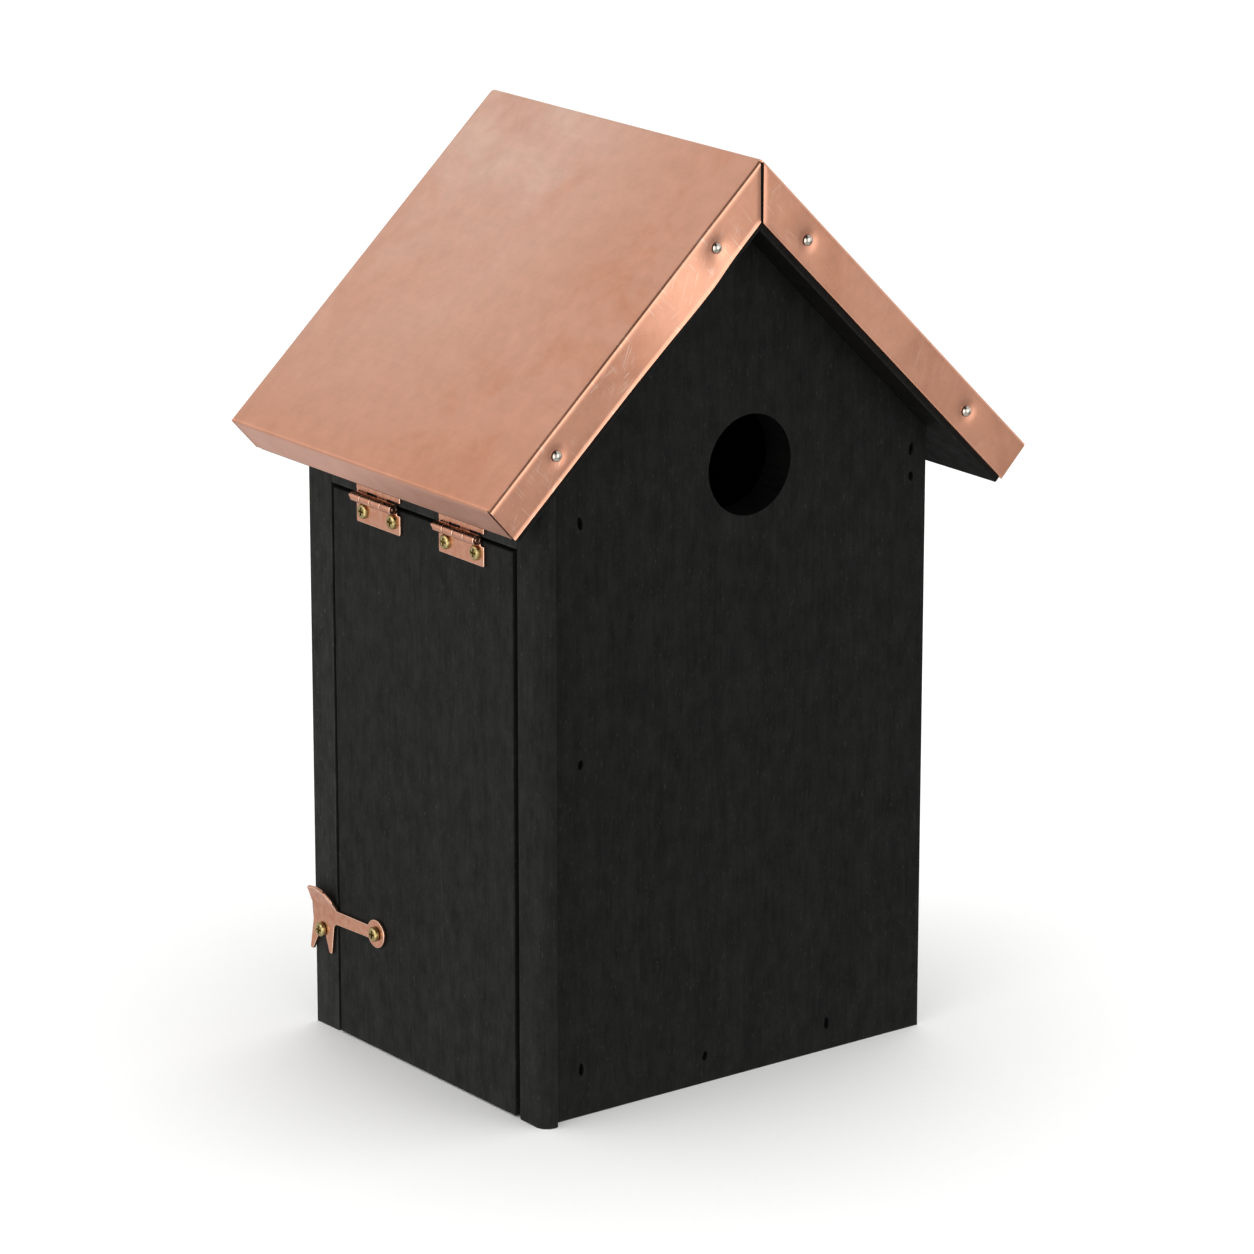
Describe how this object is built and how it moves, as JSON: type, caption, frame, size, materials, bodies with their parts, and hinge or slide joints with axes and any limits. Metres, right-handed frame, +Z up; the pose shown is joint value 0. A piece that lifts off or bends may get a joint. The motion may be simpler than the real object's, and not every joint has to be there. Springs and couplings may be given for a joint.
{
  "type": "birdhouse",
  "caption": "Gabled wooden nest box with a round front entrance, a folded copper roof and a top-hinged clean-out door held by a swing hook.",
  "frame": {"origin": "centre of the body's footprint on the surface it stands on, at the underside of the floor board", "axes": "+X to the right of someone facing the entrance, +Y towards the back, +Z up"},
  "size_m": [0.2071, 0.14, 0.2956],
  "materials": {
    "black_stained_wood": "black stain on fine-grained softwood, matt",
    "dark_roof_board": "black stained roof board, matt",
    "copper_sheet": "satin rolled copper sheet, lightly lacquered",
    "copper_plated_steel": "satin copper plate on steel",
    "brass": "yellow passivated screw, bright",
    "nickel_plated_steel": "bright plated nail"
  },
  "bodies": {
    "house": {"front_panel": "black_stained_wood", "back_panel": "black_stained_wood", "right_side_panel": "black_stained_wood", "front_corner_strip": "black_stained_wood", "back_corner_strip": "black_stained_wood", "front_stop_batten": "black_stained_wood", "back_stop_batten": "black_stained_wood", "floor_board": "black_stained_wood", "door_head_rail": "black_stained_wood", "left_roof_board": "dark_roof_board", "right_roof_board": "dark_roof_board", "copper_roof_sheet": "copper_sheet", "front_roof_nails": "nickel_plated_steel", "back_roof_nails": "nickel_plated_steel", "roof_board_nails": "nickel_plated_steel", "front_panel_brads": "nickel_plated_steel", "back_panel_brads": "nickel_plated_steel", "side_panel_brads": "nickel_plated_steel", "hanging_plate": "copper_plated_steel", "hanging_plate_screws": "brass", "latch_catch_screw": "brass", "front_hinge_fixed_leaf": "copper_plated_steel", "front_hinge_pin": "copper_plated_steel", "front_hinge_fixed_screws": "brass", "back_hinge_fixed_leaf": "copper_plated_steel", "back_hinge_pin": "copper_plated_steel", "back_hinge_fixed_screws": "brass"},
    "door": {"side_door": "black_stained_wood", "front_hinge_door_leaf": "copper_plated_steel", "back_hinge_door_leaf": "copper_plated_steel", "front_hinge_door_screws": "brass", "back_hinge_door_screws": "brass", "latch_pivot_screw": "brass"},
    "latch": {"latch_hook": "copper_plated_steel"}
  },
  "joints": [
    {"name": "door_hinge", "type": "hinge", "parent": "house", "child": "door", "pos_m": [-0.07805, 0, 0.182], "axis": [0, 1, 0], "range_deg": [0, 105]},
    {"name": "latch_pivot", "type": "hinge", "parent": "door", "child": "latch", "pos_m": [-0.0768, 0.026, 0.0398], "axis": [1, 0, 0], "range_deg": [0, 110]}
  ]
}
